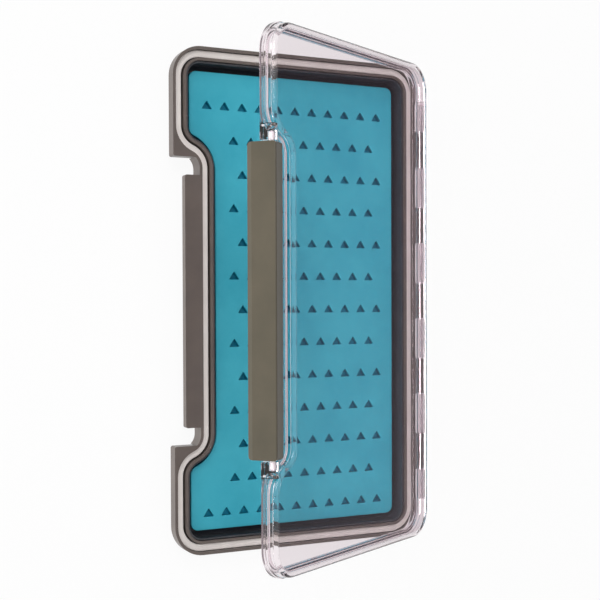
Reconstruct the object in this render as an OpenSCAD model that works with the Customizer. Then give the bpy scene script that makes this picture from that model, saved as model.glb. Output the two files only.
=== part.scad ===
// Slim waterproof fly box: moulded tray, clear lid on a long pinned hinge, full-length latch.
// +X runs along the length, -Y is the latch side, +Y the hinge side, +Z is up.
// The origin is the centre of the tray's outline, on its underside.
// The lid and latch are drawn part open, as set in the Pose section.

/* [Box] */
// Length of the outline
body_l = 188; // [178:1:230]
// Width of the outline without the hinge
body_w = 102.4; // [94:0.2:130]
// Corner radius in plan
corner_r = 11; // [10:0.5:13]
// Height of the tray, underside to rim
base_h = 10.5; // [10:0.5:16]
// Height of the closed lid above the rim
lid_h = 6; // [5.8:0.1:10]
// Gap between rim and closed lid
parting_gap = 0.2; // [0.1:0.05:0.3]

/* [Latch notch] */
// Length of the notch in the latch side
notch_l = 106.4; // [92:0.2:112]
// Size of the ogee: its arcs' centres lie 12 and 5 of these units apart
ogee_unit = 1.28; // [1.25:0.01:1.32]
// Radius where the sealed wall joins the notch
ogee_in_r = 5.4; // [4.8:0.1:6]
// How far the notch's straight wall stops short of the ear
ogee_lead = 3.9; // [3:0.1:4.5]
// Small radius on each ear's front corner
ear_r = 0.8; // [0.4:0.1:1.2]

/* [Rim and seal] */
// Width of the rim's outer lip
lip_w = 1.1; // [1:0.1:1.4]
// Width of the seal channel
channel_w = 3.1; // [2.8:0.1:3.2]
// Width of the rim's inner lip
inner_lip_w = 1; // [0.9:0.1:1.2]
// Depth of the seal channel
channel_depth = 3.5; // [3:0.1:3.6]
// Height of the seal
seal_t = 1.6; // [1:0.1:1.8]
// Side clearance of the seal in its channel
seal_fit = 0.15; // [0.1:0.05:0.2]
// Gap between the seal and the closed lid's tongue
seal_gap = 0.25; // [0.2:0.05:0.3]
// Height of the flange that carries the rim
flange_h = 4.7; // [4.6:0.1:5.2]
// Height of the skirt along the notch
notch_skirt_h = 6.7; // [6:0.1:7]
// Thickness of skirts round hollow places
skirt_t = 1.3; // [1.1:0.1:1.5]
// Thickness of the ears' top skin
ear_skin = 1.5; // [1.2:0.1:1.8]

/* [Tray and liner] */
// Thickness of the tray floor
floor_t = 1.3; // [1:0.1:1.6]
// Thickness of the tray wall under the rim
tray_wall = 1.8; // [1.5:0.1:2.2]
// Rounding of the tray's bottom edge
bottom_r = 2.5; // [2:0.1:3]
// Thickness of the liner
liner_t = 0.7; // [0.6:0.1:0.8]
// Clearance between liner and tray wall
liner_fit = 0.15; // [0.1:0.05:0.2]
// Depth of the liner's edge below the rim
liner_drop = 0.9; // [0.5:0.1:1.5]
// Rounding between the liner's wall and floor
liner_r = 1.9; // [1.5:0.1:2.1]

/* [Insert] */
// Thickness of the insert
insert_t = 3.3; // [3:0.1:4.5]
// Width of the border round the insert
insert_border = 2.1; // [2:0.1:2.5]
// Depth of the pits
pit_depth = 2.2; // [1.5:0.1:2.6]
// Length of a pit, along the box
pit_l = 3.2; // [3:0.1:4.2]
// Width of a pit, across the box
pit_w = 4.2; // [3:0.1:4.4]
// Spacing of the rows of pits
row_pitch = 12.75; // [11:0.25:13]
// Spacing of pits along a row
pit_pitch = 7.2; // [6:0.1:7.3]
// Number of rows
rows = 13; // [5:1:13]
// Pits in the first and last row
end_row_pits = 11; // [5:1:11]
// Offset of the pattern along the box
pattern_shift = 3.4; // [0:0.1:3.5]

/* [Lid] */
// Thickness of the lid's top panel
panel_t = 1.5; // [1.2:0.1:1.8]
// Thickness of the lid's walls
lid_wall = 1.6; // [1.3:0.1:1.8]
// Thickness of the lid's flange
lid_flange_t = 1.5; // [1.3:0.1:1.8]
// Step from the flange's edge to the wall
flange_step = 0.35; // [0.2:0.05:0.5]
// Inward lean of the wall
wall_draft = 0.4; // [0.2:0.05:0.6]
// Rounding of the lid's top edge
lid_edge_r = 1.2; // [0.8:0.1:1.4]
// Rounding inside the lid's top edge
lid_inner_r = 0.6; // [0.4:0.1:0.8]
// Thickness of the sealing tongue
tongue_w = 1.2; // [1:0.1:1.4]
// Width of the flange inside the tongue
flange_inside = 0.35; // [0.2:0.05:0.6]

/* [Catch and latch] */
// Length of the catch ledge
ledge_l = 93.2; // [80:0.2:96]
// Reach of the catch ledge from the notch wall
ledge_reach = 5.8; // [5.4:0.1:6]
// Thickness of the catch ledge
ledge_t = 3; // [2.6:0.1:3.2]
// Corner radius of the catch ledge
ledge_r = 0.8; // [0.4:0.1:1.5]
// Number of gussets under the ledge
gussets = 5; // [2:1:9]
// Thickness of a gusset
gusset_t = 1.2; // [0.8:0.1:2]
// Gap between the latch's ends and the lugs
latch_gap = 0.4; // [0.3:0.05:0.6]
// Thickness of the latch blade
blade_t = 2.8; // [2.4:0.1:3]
// Thickness of the latch round its pivot
latch_head_t = 4; // [3.8:0.1:4.2]
// Depth of the plate along the latch's top, front to back
latch_plate_l = 5.8; // [4.8:0.1:5.8]
// Thickness of the plate along the latch's top
latch_plate_t = 1.6; // [1.3:0.1:1.8]
// Overlap of the hook under the ledge
hook_bite = 1.3; // [1:0.1:1.5]
// Gap between hook and ledge when latched
hook_gap = 0.3; // [0.25:0.05:0.4]
// Thickness of the hook
hook_t = 1.6; // [1.3:0.1:1.9]
// Length of the finger bevel on the latch
bevel_l = 2; // [1:0.1:2.4]
// Depth of the finger bevel
bevel_d = 1.1; // [0.5:0.1:1.2]
// Corner radius of the latch seen from the front
latch_r = 1.2; // [0.5:0.1:1.6]
// Height of the latch pivot above the rim
pivot_h = 3.6; // [3.5:0.1:3.8]
// Distance of the latch pivot behind the front
pivot_in = 2.1; // [2:0.1:2.2]
// Diameter of the latch's trunnions
trunnion_d = 1.8; // [1.4:0.1:2]
// Length of a trunnion
trunnion_l = 2.8; // [2:0.1:3]
// Diametral clearance of trunnions and hinge pin
pivot_fit = 0.1; // [0.04:0.02:0.16]
// Length of the lid's lugs
lug_l = 5.5; // [5:0.1:6]
// Radius of a lug round its bore
lug_r = 2; // [1.8:0.1:2.1]

/* [Hinge] */
// Diameter of the hinge barrel
barrel_d = 4; // [3.6:0.1:4.4]
// Diameter of the hinge pin
pin_d = 1.8; // [1.4:0.1:2]
// Gap between barrel and the tray's rear edge
hinge_gap = 0.3; // [0.25:0.05:0.5]
// Number of tray knuckles
tray_knuckles = 5; // [3:1:5]
// Length of a tray knuckle
tray_knuckle_l = 14; // [10:0.5:16]
// Spacing of the tray knuckles
knuckle_pitch = 30.3; // [28:0.1:31]
// Length of the lid's end knuckles
end_knuckle_l = 12; // [8:0.5:12]
// Gap between knuckles
knuckle_gap = 0.3; // [0.2:0.05:0.5]
// Thickness of the closed end of the hinge bore
bore_end_t = 1.2; // [0.8:0.1:2]

/* [Pose] */
// Angle of the open lid
lid_open = 28; // [0:1:120]
// Angle of the latch out of its latched place
latch_open = 13; // [12:0.5:60]

/* [Hidden] */
$fn = 96;
eps = 0.4;

// Outline and ogee. The line through the centres of the ogee's two arcs, which meet on it,
// is the long side of a 5-12-13 triangle, so every point of the path is a short decimal.
ogee_run = 12 * ogee_unit;
ogee_rise = 5 * ogee_unit;
ogee_out_r = 13 * ogee_unit - ogee_in_r;
notch_d = 13 * ogee_unit - ogee_rise;
front_y = -body_w / 2;
rear_y = body_w / 2;
notch_y = front_y + notch_d;
notch_x = notch_l / 2 - ogee_lead;
ear_x = notch_x + ogee_run;
corner_x = body_l / 2 - corner_r;
corner_y = body_w / 2 - corner_r;

// Rim, tray and liner, as distances in from the outline
rim_w = lip_w + channel_w + inner_lip_w;
channel_mid = lip_w + channel_w / 2;
tray_inset = rim_w - tray_wall;
liner_inset = rim_w + liner_fit;
pocket_inset = liner_inset + liner_t;
insert_inset = pocket_inset + insert_border;
liner_top = base_h - liner_drop;
insert_z = floor_t + liner_t;
channel_z = base_h - channel_depth;

// Lid
lid_z = base_h + parting_gap;
lid_t = lid_h - parting_gap;
lid_foot = channel_mid + tongue_w / 2 + flange_inside;
tongue_l = channel_depth - seal_t - seal_gap + parting_gap;
wall_top_n = -flange_step - wall_draft;
panel_inset = -wall_top_n + lid_wall + lid_inner_r - eps;

// Hinge
barrel_r = barrel_d / 2;
hinge_y = rear_y + hinge_gap + barrel_r;
hinge_z = base_h;
bore_d = pin_d + pivot_fit;
lid_knuckle_l = knuckle_pitch - tray_knuckle_l - 2 * knuckle_gap;
tray_hinge_l = (tray_knuckles - 1) * knuckle_pitch + tray_knuckle_l;
end_knuckle_x = tray_hinge_l / 2 + knuckle_gap + end_knuckle_l / 2;
hinge_l = tray_hinge_l + 2 * (knuckle_gap + end_knuckle_l);
pin_recess = 0.5;

// Catch and latch
ledge_y = notch_y - ledge_reach;
ledge_z = base_h - ledge_t;
pivot_y = front_y + pivot_in;
pivot_z = base_h + pivot_h;
latch_l = notch_l - 2 * latch_gap;
hook_top = ledge_z - hook_gap;
hook_bottom = hook_top - hook_t;
hook_y = ledge_y + hook_bite;
blade_y = front_y + blade_t;
head_y = front_y + latch_head_t;
head_rise = 2.4;
latch_top = pivot_z + head_rise;
plate_y = front_y + latch_plate_l;
plate_z = latch_top - latch_plate_t;
head_r = 0.6;
blade_slope = 2.6;
gusset_reach = ledge_reach - hook_bite - 1.2;
gusset_drop = 2.8;

// ---- Outlines in plan -------------------------------------------------------

// Rounded plate built from true arcs
module rounded_plate(l, w, r) {
    square([l - 2 * r, w], center = true);
    square([l, w - 2 * r], center = true);
    for (x = [-1, 1], y = [-1, 1])
        translate([x * (l / 2 - r), y * (w / 2 - r)]) circle(r);
}

// Area taken out of the latch side, with an ogee at each end, for an outline inset by t
module ogee_notch(t) {
    translate([-notch_x, front_y - 1]) square([2 * notch_x, notch_d + t + 1]);
    for (side = [0, 1]) mirror([side, 0]) {
        translate([notch_x, notch_y - ogee_in_r]) circle(ogee_in_r + t);
        difference() {
            polygon([
                [notch_x, front_y - 1],
                [ear_x, front_y - 1],
                [ear_x, front_y + ogee_out_r],
                [notch_x, notch_y - ogee_in_r]
            ]);
            translate([ear_x, front_y + ogee_out_r]) circle(ogee_out_r - t);
        }
    }
}

// Outline of the sealed space, inset by t from the outside
module seal_outline(t) {
    difference() {
        rounded_plate(body_l - 2 * t, body_w - 2 * t, corner_r - t);
        ogee_notch(t);
    }
}

// Outline with square-cut ears, inset by t
module ear_outline(t) {
    ear_end = notch_l / 2 + t;
    difference() {
        rounded_plate(body_l - 2 * t, body_w - 2 * t, corner_r - t);
        translate([-ear_end, front_y - 1]) square([2 * ear_end, notch_d + t + 1]);
        for (side = [0, 1]) mirror([side, 0]) translate([ear_end, front_y + t])
            difference() {
                translate([-1, -1]) square(ear_r + 1);
                translate([ear_r, ear_r]) circle(ear_r);
            }
    }
}

// Whole flange: ears plus the sealed outline, which fills the notch corners
module flange_outline() {
    ear_outline(0);
    seal_outline(0);
}

// ---- Sweeps along the sealed outline ---------------------------------------

// Straight stretch of a section, l long, leaving the origin along +X, with +n to -Y
module straight_run(l) {
    rotate([90, 0, 90]) linear_extrude(l) mirror([1, 0]) children();
}

// Part of a full turn of a section, from the line of the ogee's centres to the Y axis
module ogee_turn() {
    reach = 3;
    intersection() {
        rotate_extrude() children();
        translate([0, 0, -body_l / 2])
            linear_extrude(body_l)
                polygon([
                    [0, 0],
                    [reach * ogee_run, reach * ogee_rise],
                    [reach * ogee_run, reach * ogee_run],
                    [0, reach * ogee_run]
                ]);
    }
}

// Sweeps a section (n outward, z up) along the sealed outline inset by t
module seal_sweep(t) {
    translate([corner_x, rear_y - t, 0]) rotate(180) straight_run(2 * corner_x) children();
    translate([-notch_x, notch_y + t, 0]) straight_run(2 * notch_x) children();
    for (side = [0, 1]) mirror([side, 0, 0]) {
        translate([body_l / 2 - t, -corner_y, 0]) rotate(90) straight_run(2 * corner_y) children();
        translate([ear_x, front_y + t, 0]) straight_run(corner_x - ear_x) children();
        for (up = [0, 1]) mirror([0, up, 0])
            translate([corner_x, corner_y, 0])
                rotate_extrude(angle = 90) translate([corner_r - t, 0]) children();
        translate([ear_x, front_y + ogee_out_r, 0])
            rotate(180) ogee_turn() translate([ogee_out_r - t, 0]) children();
        translate([notch_x, notch_y - ogee_in_r, 0])
            ogee_turn() translate([ogee_in_r + t, 0]) mirror([1, 0]) children();
    }
}

// What a rounding of radius r takes off a lower outside edge at n = 0, z = 0
module lower_edge_cut(r) {
    difference() {
        translate([-r, -1]) square([r + 1, r + 1]);
        translate([-r, r]) circle(r);
    }
}

// What a rounding of radius r adds in the corner of a wall at n = 0 and a floor at z = 0
module inner_corner_fill(r) {
    difference() {
        translate([-r, -eps]) square([r + eps, r + eps]);
        translate([-r, r]) circle(r);
    }
}

// ---- Hinge ------------------------------------------------------------------

// Solid cylinder along X, centred on x
module x_rod(x, d, l) {
    translate([x, 0, 0]) rotate([0, 90, 0]) cylinder(d = d, h = l, center = true);
}

// Extrudes a section (y, z) along X, centred on x
module x_bar(x, l) {
    translate([x - l / 2, 0, 0]) rotate([90, 0, 90]) linear_extrude(l) children();
}

module tray_knuckle(x) {
    translate([0, hinge_y, hinge_z]) x_rod(x, barrel_d, tray_knuckle_l);
    x_bar(x, tray_knuckle_l)
        polygon([
            [rear_y - eps, hinge_z],
            [hinge_y, hinge_z],
            [hinge_y, hinge_z - barrel_r],
            [rear_y, base_h - flange_h],
            [rear_y - eps, base_h - flange_h]
        ]);
}

module lid_knuckle(x, l) {
    translate([0, hinge_y, hinge_z]) x_rod(x, barrel_d, l);
    x_bar(x, l)
        polygon([
            [rear_y - eps, lid_z],
            [hinge_y, lid_z],
            [hinge_y, hinge_z + barrel_r],
            [rear_y, lid_z + lid_flange_t],
            [rear_y - eps, lid_z + lid_flange_t]
        ]);
}

module lid_knuckles() {
    for (i = [1 : tray_knuckles - 1])
        lid_knuckle((i - tray_knuckles / 2) * knuckle_pitch, lid_knuckle_l);
    for (side = [-1, 1]) lid_knuckle(side * end_knuckle_x, end_knuckle_l);
}

// Bore through the barrel, closed at the -X end
module hinge_bore() {
    translate([bore_end_t - hinge_l / 2, hinge_y, hinge_z])
        rotate([0, 90, 0]) cylinder(d = bore_d, h = hinge_l);
}

module hinge_pin() {
    pin_l = hinge_l - bore_end_t - 2 * pin_recess;
    color("lightgray")
        translate([bore_end_t + pin_recess - hinge_l / 2, hinge_y, hinge_z])
            rotate([0, 90, 0]) cylinder(d = pin_d, h = pin_l);
}

// ---- Tray -------------------------------------------------------------------

// Ledge in the notch that the latch hooks under
module catch_ledge() {
    root = 1;
    translate([0, (ledge_y + notch_y + root) / 2, ledge_z])
        linear_extrude(ledge_t) rounded_plate(ledge_l, ledge_reach + root, ledge_r);
    span = ledge_l - 2 * ledge_r - gusset_t;
    for (i = [0 : gussets - 1])
        x_bar(-span / 2 + i * span / (gussets - 1), gusset_t)
            polygon([
                [notch_y + eps, ledge_z + eps],
                [notch_y - gusset_reach, ledge_z + eps],
                [notch_y - gusset_reach, ledge_z],
                [notch_y, ledge_z - gusset_drop],
                [notch_y + eps, ledge_z - gusset_drop]
            ]);
}

// Shell of the tray below the flange, with its bottom edge rounded
module tray_tub() {
    difference() {
        linear_extrude(base_h - eps) seal_outline(tray_inset);
        seal_sweep(tray_inset) lower_edge_cut(bottom_r);
    }
}

// Hollow under each ear, outside the sealed wall
module ear_hollow() {
    translate([0, 0, base_h - flange_h - 1])
        linear_extrude(flange_h - ear_skin + 1)
            intersection() {
                difference() {
                    ear_outline(skirt_t);
                    seal_outline(-0.2);
                }
                translate([-ear_x, front_y]) square([2 * ear_x, notch_d]);
            }
}

// Skirt below the rim along the notch, round both of its ogees
module notch_skirt() {
    translate([0, 0, base_h - notch_skirt_h])
        linear_extrude(notch_skirt_h)
            intersection() {
                difference() {
                    seal_outline(0);
                    seal_outline(skirt_t);
                }
                translate([-notch_l / 2, front_y])
                    square([notch_l, notch_d + 2 * skirt_t]);
            }
}

module base_tray() {
    color("#6b625c")
        difference() {
            union() {
                tray_tub();
                translate([0, 0, base_h - flange_h]) linear_extrude(flange_h) flange_outline();
                notch_skirt();
                catch_ledge();
                for (i = [0 : tray_knuckles - 1])
                    tray_knuckle((i - (tray_knuckles - 1) / 2) * knuckle_pitch);
            }
            translate([0, 0, floor_t]) linear_extrude(base_h) seal_outline(rim_w);
            translate([0, 0, channel_z])
                linear_extrude(channel_depth + 1)
                    difference() {
                        seal_outline(lip_w);
                        seal_outline(lip_w + channel_w);
                    }
            ear_hollow();
            hinge_bore();
        }
}

// ---- Liner, insert and seal -------------------------------------------------

module inner_liner() {
    color("#26292c") {
        translate([0, 0, floor_t])
            difference() {
                linear_extrude(liner_top - floor_t) seal_outline(liner_inset);
                translate([0, 0, liner_t]) linear_extrude(base_h) seal_outline(pocket_inset);
            }
        translate([0, 0, insert_z]) seal_sweep(pocket_inset) inner_corner_fill(liner_r);
    }
}

// Places of the pits along a row, counted in pit spacings from the latch side
function row_places(row) =
    (row == 0 || row == rows - 1) ? [0 : end_row_pits - 1]
    : (row % 2 == 1) ? [1.5 : end_row_pits - 1.5]
    : [2 : end_row_pits - 1];

// Pit seen from above: a triangle about its centroid, pointing to -X
module pit_shape() {
    polygon([[pit_l / 3, -pit_w / 2], [pit_l / 3, pit_w / 2], [-2 * pit_l / 3, 0]]);
}

module pits() {
    translate([pattern_shift, 0, insert_z + insert_t - pit_depth])
        linear_extrude(pit_depth + 1)
            for (row = [0 : rows - 1], place = row_places(row))
                translate([
                    (row - (rows - 1) / 2) * row_pitch,
                    (place - (end_row_pits - 1) / 2) * pit_pitch
                ]) pit_shape();
}

module silicone_insert() {
    color("#3fa5b8")
        difference() {
            translate([0, 0, insert_z]) linear_extrude(insert_t) seal_outline(insert_inset);
            pits();
        }
}

// Section of the seal: flat foot and a rounded top
module seal_section() {
    half_w = channel_w / 2 - seal_fit;
    r = seal_t / 2;
    translate([-half_w, 0]) square([2 * half_w, seal_t - r]);
    translate([r - half_w, 0]) square([2 * (half_w - r), seal_t]);
    for (side = [-1, 1]) translate([side * (half_w - r), seal_t - r]) circle(r);
}

module rim_seal() {
    color("#d3c9c2") translate([0, 0, channel_z]) seal_sweep(channel_mid) seal_section();
}

// ---- Lid --------------------------------------------------------------------

// Section of the lid's wall, n outward from the outline, z up from the parting plane
module lid_section() {
    top = lid_t - panel_t;
    inner_n = wall_top_n - lid_wall;
    difference() {
        union() {
            polygon([
                [-flange_step, 0],
                [-flange_step, lid_flange_t],
                [wall_top_n, lid_t - lid_edge_r],
                [wall_top_n - lid_edge_r, lid_t],
                [-panel_inset - eps, lid_t],
                [-panel_inset - eps, top],
                [inner_n - lid_inner_r, top],
                [inner_n, top - lid_inner_r],
                [inner_n + wall_draft, lid_flange_t],
                [inner_n + wall_draft, 0]
            ]);
            translate([wall_top_n - lid_edge_r, lid_t - lid_edge_r]) circle(lid_edge_r);
        }
        translate([inner_n - lid_inner_r, top - lid_inner_r]) circle(lid_inner_r);
    }
    translate([-lid_foot, 0]) square([lid_foot, lid_flange_t]);
    tip_r = tongue_w / 2;
    translate([-channel_mid - tip_r, tip_r - tongue_l]) square([tongue_w, tongue_l]);
    translate([-channel_mid, tip_r - tongue_l]) circle(tip_r);
}

// Lug that carries one end of the latch
module latch_lug() {
    translate([notch_l / 2, 0, 0]) rotate([90, 0, 90]) linear_extrude(lug_l) {
        translate([pivot_y, pivot_z]) circle(lug_r);
        translate([pivot_y - lug_r, lid_z]) square([2 * lug_r, pivot_z - lid_z]);
    }
}

// Trunnions along the pivot line, or their bores
module trunnions(d, l) {
    translate([0, pivot_y, pivot_z]) x_rod(0, d, notch_l + 2 * l);
}

module lid_closed() {
    difference() {
        union() {
            translate([0, 0, lid_z]) {
                linear_extrude(lid_flange_t)
                    difference() {
                        flange_outline();
                        seal_outline(channel_mid);
                    }
                seal_sweep(0) lid_section();
                translate([0, 0, lid_t - panel_t]) linear_extrude(panel_t) seal_outline(panel_inset);
            }
            for (side = [0, 1]) mirror([side, 0, 0]) latch_lug();
            lid_knuckles();
        }
        trunnions(trunnion_d + pivot_fit, trunnion_l - latch_gap + 0.3);
        hinge_bore();
    }
}

// Turns what rides on the lid about the hinge
module on_lid() {
    translate([0, hinge_y, hinge_z]) rotate([-lid_open, 0, 0])
        translate([0, -hinge_y, -hinge_z]) children();
}

module lid() {
    color("#dfe4e8", 0.35) on_lid() lid_closed();
}

// ---- Latch ------------------------------------------------------------------

// Section of the latch in its latched place, y across and z up
module latch_section() {
    difference() {
        union() {
            polygon([
                [front_y, hook_bottom + bevel_l],
                [front_y, latch_top - head_r],
                [front_y + head_r, latch_top],
                [plate_y - head_r, latch_top],
                [plate_y, latch_top - head_r],
                [plate_y, plate_z],
                [head_y, plate_z],
                [head_y, pivot_z - 1],
                [blade_y, pivot_z - blade_slope],
                [blade_y, hook_top],
                [hook_y - 0.3, hook_top],
                [hook_y, hook_top - 0.5],
                [hook_y - 0.7, hook_bottom + 0.1],
                [front_y + bevel_d, hook_bottom]
            ]);
            for (y = [front_y + head_r, plate_y - head_r])
                translate([y, latch_top - head_r]) circle(head_r);
        }
    }
}

module latch() {
    color("#5f5a4f")
        on_lid()
            translate([0, pivot_y, pivot_z]) rotate([-latch_open, 0, 0])
                translate([0, -pivot_y, -pivot_z]) {
                    intersection() {
                        x_bar(0, latch_l) latch_section();
                        translate([0, front_y - 1, (hook_bottom + latch_top) / 2])
                            rotate([-90, 0, 0]) linear_extrude(notch_d + 1)
                                rounded_plate(latch_l, latch_top - hook_bottom, latch_r);
                    }
                    trunnions(trunnion_d, trunnion_l - latch_gap);
                }
}

base_tray();
inner_liner();
silicone_insert();
rim_seal();
lid();
latch();
hinge_pin();
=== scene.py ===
"""Looks for the slim fly box: clear lid, taupe tray and latch, teal slit insert, pale rim seal."""

import math

import bmesh
import bpy
from mathutils import Matrix, Vector


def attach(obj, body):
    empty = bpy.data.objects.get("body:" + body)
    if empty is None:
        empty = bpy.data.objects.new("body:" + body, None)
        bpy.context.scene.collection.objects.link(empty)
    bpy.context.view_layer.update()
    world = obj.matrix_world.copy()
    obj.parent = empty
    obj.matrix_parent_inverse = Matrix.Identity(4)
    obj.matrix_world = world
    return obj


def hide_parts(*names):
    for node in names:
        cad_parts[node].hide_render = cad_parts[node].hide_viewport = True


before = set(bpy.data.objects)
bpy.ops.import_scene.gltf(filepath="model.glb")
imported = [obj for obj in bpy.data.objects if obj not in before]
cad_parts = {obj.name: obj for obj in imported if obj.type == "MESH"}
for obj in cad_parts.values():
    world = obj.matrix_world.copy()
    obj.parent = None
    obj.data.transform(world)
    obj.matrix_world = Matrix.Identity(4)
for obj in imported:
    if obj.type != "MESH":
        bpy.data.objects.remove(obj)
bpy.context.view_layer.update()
MM = 0.001
WHITE = (1.0, 1.0, 1.0)

# ---- Sizes shared with the CAD part, in millimetres --------------------------
BODY_L, BODY_W, CORNER_R = 188.0, 102.4, 11.0
NOTCH_L, OGEE_UNIT, OGEE_IN_R, OGEE_LEAD = 106.4, 1.28, 5.4, 3.9
LIP_W, CHANNEL_W, CHANNEL_Z = 1.1, 3.1, 7.0
INSERT_INSET, INSERT_Z, INSERT_T, PIT_DEPTH = 8.15, 2.0, 3.3, 2.2
PIT_L, PIT_W, ROW_PITCH, PIT_PITCH, PATTERN_SHIFT = 3.2, 4.2, 12.75, 7.2, 3.4
ROWS, END_PITS = 13, 11

# The ogee's arcs have their centres on the long side of a 5-12-13 triangle,
# so the notch is 13 - 5 units deep
OGEE_RUN, OGEE_RISE, NOTCH_DEPTH = 12 * OGEE_UNIT, 5 * OGEE_UNIT, 8 * OGEE_UNIT
OGEE_OUT_R = 13 * OGEE_UNIT - OGEE_IN_R
FRONT_Y = -BODY_W / 2
NOTCH_Y = FRONT_Y + NOTCH_DEPTH
NOTCH_X = NOTCH_L / 2 - OGEE_LEAD
EAR_X = NOTCH_X + OGEE_RUN
INSERT_TOP = INSERT_Z + INSERT_T

# ---- This scene's own sizes, in millimetres --------------------------------------
# The latch's pale trunnion finish starts here along X, just clear of the blade's end faces
TRUNNION_X = 52.9
# The seal, and the gap on its inner side
SEAL_W, SEAL_T, SEAL_GAP = 2.95, 1.8, 0.35
SEAL_SHOULDER, SEAL_GROOVE = 0.3, 0.1
# Rounding of the insert's edges and of its slits' corners
INSERT_EDGE, BACK_EDGE, PIT_R = 0.22, 0.1, 0.28
# The insert's closed back is a hair smaller than its pierced plate, which starts higher
BACK_INSET, PLATE_RISE = 0.03, 0.25

# Points closer than this become one, in metres: in a filled curve and after a weld
CURVE_MERGE, WELD_MERGE = 1e-7, 2e-6
# Edges sharper than this stay sharp, in degrees
CAD_SHARP, PLATE_SHARP, SWEEP_SHARP = 28, 40, 50


# ---- Outline ------------------------------------------------------------------
def arc(cx, cy, r, a0, a1, steps):
    """Points of an arc, with the direction that points out of its centre."""
    out = []
    for i in range(steps + 1):
        a = math.radians(a0 + (a1 - a0) * i / steps)
        out.append((cx + r * math.cos(a), cy + r * math.sin(a), math.cos(a), math.sin(a)))
    return out


def seal_path(t, steps):
    """The sealed outline inset by t, anticlockwise: (x, y, outward normal x, y) in millimetres."""
    turn = math.degrees(math.atan2(OGEE_RISE, OGEE_RUN))
    cx, cy, r = BODY_L / 2 - CORNER_R, BODY_W / 2 - CORNER_R, CORNER_R - t
    half = arc(EAR_X, FRONT_Y + OGEE_OUT_R, OGEE_OUT_R - t, 180 + turn, 270, steps)
    half += arc(cx, -cy, r, -90, 0, steps) + arc(cx, cy, r, 0, 90, steps)
    inner = [
        (x, y, -nx, -ny)
        for x, y, nx, ny in arc(NOTCH_X, NOTCH_Y - OGEE_IN_R, OGEE_IN_R + t, 90, turn, steps)
    ]
    right = inner + half[1:]
    left = [(-x, y, -nx, ny) for x, y, nx, ny in reversed(right)]
    return right + left


def mesh_object(name, verts, faces, smooth=35):
    """A mesh from its points and faces, smooth up to the given angle."""
    me = bpy.data.meshes.new(name)
    me.from_pydata(verts, [], faces)
    me.validate()
    obj = bpy.data.objects.new(name, me)
    bpy.context.scene.collection.objects.link(obj)
    soften(obj, smooth)
    return obj


def soften(obj, angle):
    """Smooth shading that keeps edges sharper than angle."""
    me = obj.data
    me.shade_smooth()
    me.set_sharp_from_angle(angle=math.radians(angle))


def sweep(name, path, section):
    """A closed section (out, up) carried along a closed path."""
    verts, faces = [], []
    n, m = len(path), len(section)
    for x, y, nx, ny in path:
        for out, up in section:
            verts.append(((x + nx * out) * MM, (y + ny * out) * MM, up * MM))
    for i in range(n):
        for j in range(m):
            a, b = i * m + j, i * m + (j + 1) % m
            c, d = ((i + 1) % n) * m + (j + 1) % m, ((i + 1) % n) * m + j
            faces.append((a, d, c, b))
    return mesh_object(name, verts, faces, SWEEP_SHARP)


def merge_points(me, reach):
    """Merges points closer than reach and drops the faces this closes."""
    bm = bmesh.new()
    bm.from_mesh(me)
    bmesh.ops.remove_doubles(bm, verts=bm.verts, dist=reach)
    bmesh.ops.dissolve_degenerate(bm, edges=bm.edges, dist=reach)
    bm.to_mesh(me)
    bm.free()


def outline_solid(name, loops, z0, z1, edge):
    """A plate between z0 and z1 with rounded edges.

    The first loop is its outline and the rest are holes.
    """
    cu = bpy.data.curves.new(name + "_shape", "CURVE")
    cu.dimensions = "2D"
    cu.fill_mode = "BOTH"
    cu.extrude = ((z1 - z0) / 2 - edge) * MM
    cu.bevel_depth = edge * MM
    cu.bevel_resolution = 2
    cu.offset = -edge * MM
    for loop in loops:
        sp = cu.splines.new("POLY")
        sp.points.add(len(loop) - 1)
        for p, (x, y) in zip(sp.points, loop):
            p.co = (x * MM, y * MM, 0, 1)
        sp.use_cyclic_u = True
    tmp = bpy.data.objects.new(name + "_tmp", cu)
    bpy.context.scene.collection.objects.link(tmp)
    bpy.context.view_layer.update()
    dg = bpy.context.evaluated_depsgraph_get()
    me = bpy.data.meshes.new_from_object(tmp.evaluated_get(dg))
    me.transform(Matrix.Translation((0, 0, (z0 + z1) / 2 * MM)))
    bpy.data.objects.remove(tmp)
    merge_points(me, CURVE_MERGE)
    obj = bpy.data.objects.new(name, me)
    bpy.context.scene.collection.objects.link(obj)
    soften(obj, PLATE_SHARP)
    return obj


def weld(target, other):
    """Unites other's solid with target's."""
    mod = target.modifiers.new("weld", "BOOLEAN")
    mod.operation, mod.solver, mod.object = "UNION", "EXACT", other
    bpy.context.view_layer.objects.active = target
    bpy.ops.object.modifier_apply(modifier=mod.name)
    bpy.data.objects.remove(other)
    merge_points(target.data, WELD_MERGE)
    soften(target, PLATE_SHARP)
    mod = target.modifiers.new("normals", "WEIGHTED_NORMAL")
    mod.keep_sharp = True
    bpy.ops.object.modifier_apply(modifier=mod.name)


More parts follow.
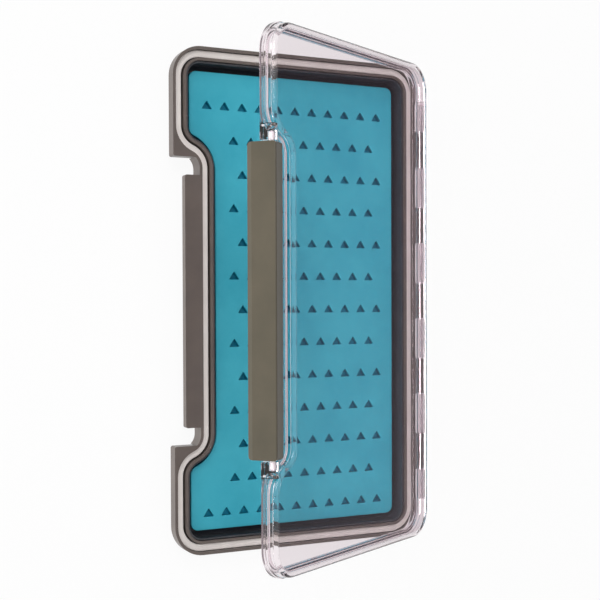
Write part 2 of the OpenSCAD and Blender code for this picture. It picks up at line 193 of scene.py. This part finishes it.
# ---- Materials ------------------------------------------------------------------
class Nodes:
    """Shorthands for building a node tree."""

    def __init__(self, tree, coord="Object"):
        self.tree = tree
        self.coord = self.node("ShaderNodeTexCoord").outputs[coord]

    def node(self, kind, **props):
        n = self.tree.nodes.new(kind)
        for key, value in props.items():
            setattr(n, key, value)
        return n

    def link(self, a, b):
        self.tree.links.new(a, b)

    def noise(self, scale, detail=3.0, rough=0.55):
        n = self.node("ShaderNodeTexNoise")
        n.inputs["Scale"].default_value = scale
        n.inputs["Detail"].default_value = detail
        n.inputs["Roughness"].default_value = rough
        self.link(self.coord, n.inputs["Vector"])
        return n.outputs["Fac"]

    def axes(self):
        n = self.node("ShaderNodeSeparateXYZ")
        self.link(self.coord, n.inputs[0])
        return n.outputs

    def ramp(self, fac, lo, hi, a=0.3, b=0.7):
        n = self.node("ShaderNodeValToRGB")
        e = n.color_ramp.elements
        e[0].position, e[1].position = a, b
        e[0].color, e[1].color = (*lo, 1), (*hi, 1)
        self.link(fac, n.inputs["Fac"])
        return n.outputs["Color"]

    def span(self, fac, lo, hi, a=0.0, b=1.0):
        """Maps fac from a..b to lo..hi, eased at both ends."""
        n = self.node("ShaderNodeMapRange", interpolation_type="SMOOTHSTEP")
        for key, value in (("From Min", a), ("From Max", b), ("To Min", lo), ("To Max", hi)):
            n.inputs[key].default_value = value
        self.link(fac, n.inputs["Value"])
        return n.outputs["Result"]

    def math(self, op, a, b=None):
        n = self.node("ShaderNodeMath", operation=op)
        for socket, value in zip(n.inputs, (a, b)):
            if value is None:
                continue
            if isinstance(value, (int, float)):
                socket.default_value = value
            else:
                self.link(value, socket)
        return n.outputs[0]

    def mix(self, fac, a, b):
        n = self.node("ShaderNodeMix", data_type="RGBA", blend_type="MIX")
        for socket, value in zip((n.inputs[0], n.inputs[6], n.inputs[7]), (fac, a, b)):
            if isinstance(value, tuple):
                socket.default_value = (*value, 1)
            elif isinstance(value, float):
                socket.default_value = value
            else:
                self.link(value, socket)
        return n.outputs[2]

    def mix_shader(self, fac, a, b):
        n = self.node("ShaderNodeMixShader")
        for socket, value in zip(n.inputs, (fac, a, b)):
            self.link(value, socket)
        return n.outputs[0]

    def ray(self, *kinds):
        """1 for rays of any of the kinds."""
        path = self.node("ShaderNodeLightPath")
        total = path.outputs[kinds[0]]
        for kind in kinds[1:]:
            total = self.math("MAXIMUM", total, path.outputs[kind])
        return total


class Mat(Nodes):
    """A node material with its Principled shader."""

    def __init__(self, name, **sockets):
        self.mat = bpy.data.materials.new(name)
        self.mat.use_nodes = True
        super().__init__(self.mat.node_tree)
        self.bsdf = self.tree.nodes["Principled BSDF"]
        self.out = self.tree.nodes["Material Output"]
        for key, value in sockets.items():
            self.bsdf.inputs[key.replace("_", " ")].default_value = value

    def bump(self, fac, strength, distance):
        n = self.node("ShaderNodeBump")
        n.inputs["Strength"].default_value = strength
        n.inputs["Distance"].default_value = distance
        self.link(fac, n.inputs["Height"])
        self.link(n.outputs["Normal"], self.bsdf.inputs["Normal"])

    def painted_crevice_shade(self, reach, dark):
        """Painted shade from ambient occlusion: 1 in the open, falling to dark in corners and gaps
        narrower than reach.
        """
        n = self.node("ShaderNodeAmbientOcclusion", samples=4)
        n.inputs["Distance"].default_value = reach
        return self.span(n.outputs["AO"], dark, 1.0, 0.15, 0.85)

    def colour(self, socket):
        self.link(socket, self.bsdf.inputs["Base Color"])

    def roughness(self, socket):
        self.link(socket, self.bsdf.inputs["Roughness"])


def srgb(*levels):
    """Linear colour of display levels from 0 to 255."""
    shares = (level / 255 for level in levels)
    return tuple(c / 12.92 if c <= 0.04045 else ((c + 0.055) / 1.055) ** 2.4 for c in shares)


def taupe_plastic():
    """Satin moulding with painted shade in its gaps and corners."""
    m = Mat("taupe_plastic", IOR=1.48)
    base = m.ramp(m.noise(90, 4), srgb(86, 77, 73), srgb(96, 86, 80))
    # Painted shade: the colour falls to dark brown in gaps and corners, by ambient occlusion.
    m.colour(m.mix(m.painted_crevice_shade(0.0016, 0.0), srgb(52, 44, 40), base))
    m.roughness(m.span(m.noise(700), 0.27, 0.37))
    m.bump(m.noise(2600, 2), 0.12, 0.00002)
    return m.mat


def latch_plastic():
    """Warmer moulding, finished pale on its trunnions."""
    m = Mat("latch_plastic", IOR=1.48)
    body = m.ramp(m.noise(60, 4), srgb(70, 65, 52), srgb(82, 75, 61))
    trunnion = m.math("GREATER_THAN", m.math("ABSOLUTE", m.axes()[0]), TRUNNION_X * MM)
    m.colour(m.mix(trunnion, body, srgb(226, 223, 224)))
    m.roughness(m.span(m.noise(500), 0.28, 0.38))
    m.bump(m.noise(2400, 2), 0.1, 0.00002)
    return m.mat


def charcoal_plastic():
    m = Mat("charcoal_plastic", IOR=1.48)
    m.colour(m.ramp(m.noise(120, 3), srgb(44, 46, 51), srgb(54, 56, 61)))
    m.roughness(m.span(m.noise(600), 0.26, 0.38))
    m.bump(m.noise(2200, 2), 0.15, 0.00002)
    return m.mat


def teal_silicone():
    """Soft sheet with painted shade inside its slits and along its sides."""
    m = Mat("teal_silicone", IOR=1.41)
    top = m.ramp(m.noise(45, 5, 0.6), srgb(48, 164, 186), srgb(60, 175, 195), 0.35, 0.65)
    # Painted shade: the colour turns deep teal below the top face, in the slits and on the sheet's
    # sides.
    painted_slit_shade = m.span(m.axes()[2], 0.0, 1.0, (INSERT_TOP - 0.9) * MM, (INSERT_TOP - 0.1) * MM)
    m.colour(m.mix(painted_slit_shade, srgb(0, 128, 156), top))
    m.roughness(m.span(m.noise(900), 0.5, 0.66))
    m.bump(m.noise(1700, 4), 0.35, 0.00005)
    return m.mat


def pale_silicone():
    m = Mat("pale_silicone", IOR=1.41)
    m.colour(m.ramp(m.noise(150, 3), srgb(236, 229, 224), srgb(243, 237, 232)))
    m.roughness(m.span(m.noise(800), 0.45, 0.6))
    m.bump(m.noise(1500, 3), 0.2, 0.00003)
    return m.mat


def steel():
    m = Mat("drawn_steel", Metallic=1.0)
    m.colour(m.ramp(m.noise(400, 2), (0.5, 0.5, 0.5), (0.62, 0.62, 0.62)))
    m.roughness(m.span(m.noise(1500), 0.25, 0.4))
    m.bump(m.noise(3000, 2), 0.1, 0.00001)
    return m.mat


def clear_plastic():
    """Faintly wavy clear moulding that is plainly clear to shadow rays."""
    m = Mat("clear_plastic", IOR=1.5)
    m.bsdf.inputs["Transmission Weight"].default_value = 1.0
    # The tint's faint pink-grey is painted reflection, standing in for a mauve cast of reflections; the
    # lid itself may be colourless.
    m.colour(m.ramp(m.noise(14, 2), (0.9, 0.83, 0.86), (0.9, 0.85, 0.87)))
    m.roughness(m.span(m.noise(260, 6, 0.7), 0.0, 0.04))
    m.bump(m.noise(35, 2), 0.1, 0.0002)
    clear = m.node("ShaderNodeBsdfTransparent")
    clear.inputs["Color"].default_value = (0.93, 0.93, 0.94, 1)
    shadow = m.ray("Is Shadow Ray")
    m.link(m.mix_shader(shadow, m.bsdf.outputs[0], clear.outputs[0]), m.out.inputs["Surface"])
    return m.mat


def dress(obj, mat):
    """Gives obj the one material."""
    obj.data.materials.clear()
    obj.data.materials.append(mat)


# ---- Camera, light and floor ----------------------------------------------------
scene = bpy.context.scene
scene.view_settings.view_transform = "Standard"

cam_data = bpy.data.cameras.new("camera")
cam_data.sensor_width = 36
cam_data.lens = 68.3
cam_data.shift_x = -0.002
cam_data.shift_y = 0.034
cam_data.clip_start = 0.01
camera = bpy.data.objects.new("camera", cam_data)
scene.collection.objects.link(camera)
scene.camera = camera

# The camera looks down from over the latch side, with -X up in its picture
eye, target = Vector((0.0001, -0.1928, 0.4040)), Vector((0.0076, 0.0056, 0))
back = (eye - target).normalized()
right = Vector((-1, 0.004, 0)).cross(back).normalized()
turned = Matrix((right, back.cross(right), back)).transposed()
camera.matrix_world = Matrix.LocRotScale(eye, turned, None)


def area_light(name, location, width, painted_slit_shade, power):
    """A rectangular lamp that faces the box."""
    data = bpy.data.lights.new(name, "AREA")
    data.shape = "RECTANGLE"
    data.size, data.size_y = width, painted_slit_shade
    data.energy = power
    obj = bpy.data.objects.new(name, data)
    obj.location = location
    obj.rotation_euler = (-Vector(location)).to_track_quat("-Z", "Y").to_euler()
    scene.collection.objects.link(obj)
    return obj


def background(nodes, colour, strength=1.0):
    """Background shader of a colour or of a colour socket."""
    n = nodes.node("ShaderNodeBackground")
    if isinstance(colour, tuple):
        n.inputs["Color"].default_value = (*colour, 1)
    else:
        nodes.link(colour, n.inputs["Color"])
    n.inputs["Strength"].default_value = strength
    return n.outputs[0]


# The camera sees white. Reflected and refracted rays see white but for a dark wall low
# behind the hinge, and the light on dull faces falls off towards that side.
world = bpy.data.worlds.new("studio")
scene.world = world
world.use_nodes = True
world.node_tree.nodes.clear()
sky = Nodes(world.node_tree, "Generated")
sky_x, sky_y, sky_z = sky.axes()
wall = sky.math("MULTIPLY", sky.span(sky_y, 0.0, 1.0, 0.3, 0.85), sky.span(sky_z, 1.0, 0.0, 0.2, 0.6))
mirrored = sky.mix(sky.span(sky_x, 0.0, 1.0, -0.3, 0.3), (0.03, 0.02, 0.03), (0.26, 0.24, 0.26))
wall_colour = sky.mix(sky.ray("Is Transmission Ray"), mirrored, (0.22, 0.18, 0.2))
studio = background(sky, sky.mix(wall, WHITE, wall_colour))
sharp = sky.ray("Is Glossy Ray", "Is Transmission Ray")
fill_colour = sky.mix(sky.span(sky_y, 0.0, 1.0, -0.1, 0.8), WHITE, (0.35, 0.35, 0.35))
lit = sky.mix_shader(sharp, background(sky, fill_colour, 0.78), studio)
seen = sky.mix_shader(sky.ray("Is Camera Ray"), lit, background(sky, WHITE))
sky.link(seen, sky.node("ShaderNodeOutputWorld").inputs["Surface"])

area_light("key", (-0.5, -0.4, 0.95), 0.55, 0.55, 3.8)
# Lights the upright faces on the latch side and is left out of reflections
low_front = area_light("low_front", (0.05, -0.9, 0.09), 0.9, 0.16, 6.3)
low_front.visible_glossy = False

# The floor: mostly glow where it is seen, directly or in the pieces, so that it is
# white and keeps a trace of the shadow
FLOOR_GLOW = 0.92
floor = mesh_object("floor", [(-4, -4, 0), (4, -4, 0), (4, 4, 0), (-4, 4, 0)], [(0, 1, 2, 3)])
floor.location.z = -0.0002
fm = Mat("floor_white", Roughness=0.9)
fm.colour(fm.ramp(fm.noise(3), (0.86, 0.86, 0.86), (0.88, 0.88, 0.88)))
glow = fm.node("ShaderNodeEmission")
glow.inputs["Strength"].default_value = 1.0
direct = fm.math("MULTIPLY", fm.ray("Is Camera Ray", "Is Glossy Ray", "Is Transmission Ray"), FLOOR_GLOW)
fm.link(fm.mix_shader(direct, fm.bsdf.outputs[0], glow.outputs[0]), fm.out.inputs["Surface"])
dress(floor, fm.mat)

# ---- Soft pieces that stand for their plain solids -------------------------------
def seal_section():
    """Flat foot, two soft shoulders and a shallow groove along the crown."""
    half, base = (SEAL_W - SEAL_GAP) / 2, CHANNEL_Z
    top, r = base + SEAL_T, SEAL_SHOULDER
    pts = [(0.1 - half, base), (half - 0.1, base), (half, base + 0.15), (half, top - r)]
    for i in range(1, 6):
        a = math.radians(90 * i / 6)
        pts.append((half - r + r * math.cos(a), top - r + (r - 0.01) * math.sin(a)))
    pts += [(half - r, top - 0.01), (half - 0.5, top), (0.25, top - 0.06), (0, top - SEAL_GROOVE)]
    other_side = [(-x, z) for x, z in reversed(pts[2:-1])]
    return [(x + SEAL_GAP / 2, z) for x, z in pts + other_side]


seal = sweep("seal_ring", seal_path(LIP_W + CHANNEL_W / 2, 20), seal_section())
dress(seal, pale_silicone())
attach(seal, "tray")
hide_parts("rim_seal")


def pit_loop(cx, cy):
    """A triangle with rounded corners, pointing to -X."""
    flat, tip = PIT_L / 3, -2 * PIT_L / 3
    corners = [Vector(p) for p in ((flat, -PIT_W / 2), (flat, PIT_W / 2), (tip, 0))]
    out = []
    for i, p in enumerate(corners):
        before = (corners[i - 1] - p).normalized()
        after = (corners[(i + 1) % 3] - p).normalized()
        for share, reach in ((0, 1.6), (1 / 3, 1), (2 / 3, 1), (1, 1.6)):
            q = p + (before * (1 - share) + after * share) * PIT_R * reach
            out.append((cx + q.x, cy + q.y))
    return out


def row_places(row):
    """Places of the pits along a row, in pit spacings from the latch side."""
    if row in (0, ROWS - 1):
        return [float(i) for i in range(END_PITS)]
    if row % 2:
        return [1.5 + i for i in range(END_PITS - 2)]
    return [2.0 + i for i in range(END_PITS - 2)]


mid_row, mid_place = (ROWS - 1) / 2, (END_PITS - 1) / 2
pit_loops = [
    pit_loop((row - mid_row) * ROW_PITCH + PATTERN_SHIFT, (place - mid_place) * PIT_PITCH)
    for row in range(ROWS)
    for place in row_places(row)
]


def plate(inset):
    """The insert's outline."""
    return [(x, y) for x, y, _, _ in seal_path(inset, 12)]


# A plate pierced by the slits, closed below them by a hair smaller one
top_loops = [plate(INSERT_INSET)] + pit_loops
insert = outline_solid("insert_sheet", top_loops, INSERT_Z + PLATE_RISE, INSERT_TOP, INSERT_EDGE)
back_loops = [plate(INSERT_INSET + BACK_INSET)]
weld(insert, outline_solid("insert_back", back_loops, INSERT_Z, INSERT_TOP - PIT_DEPTH, BACK_EDGE))
dress(insert, teal_silicone())
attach(insert, "tray")
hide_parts("silicone_insert")

# ---- Finishes of the CAD pieces that stay ------------------------------------------
finishes = {
    "base_tray": taupe_plastic(),
    "inner_liner": charcoal_plastic(),
    "lid": clear_plastic(),
    "latch": latch_plastic(),
    "hinge_pin": steel(),
}
for node, mat in finishes.items():
    dress(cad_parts[node], mat)
    soften(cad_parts[node], CAD_SHARP)
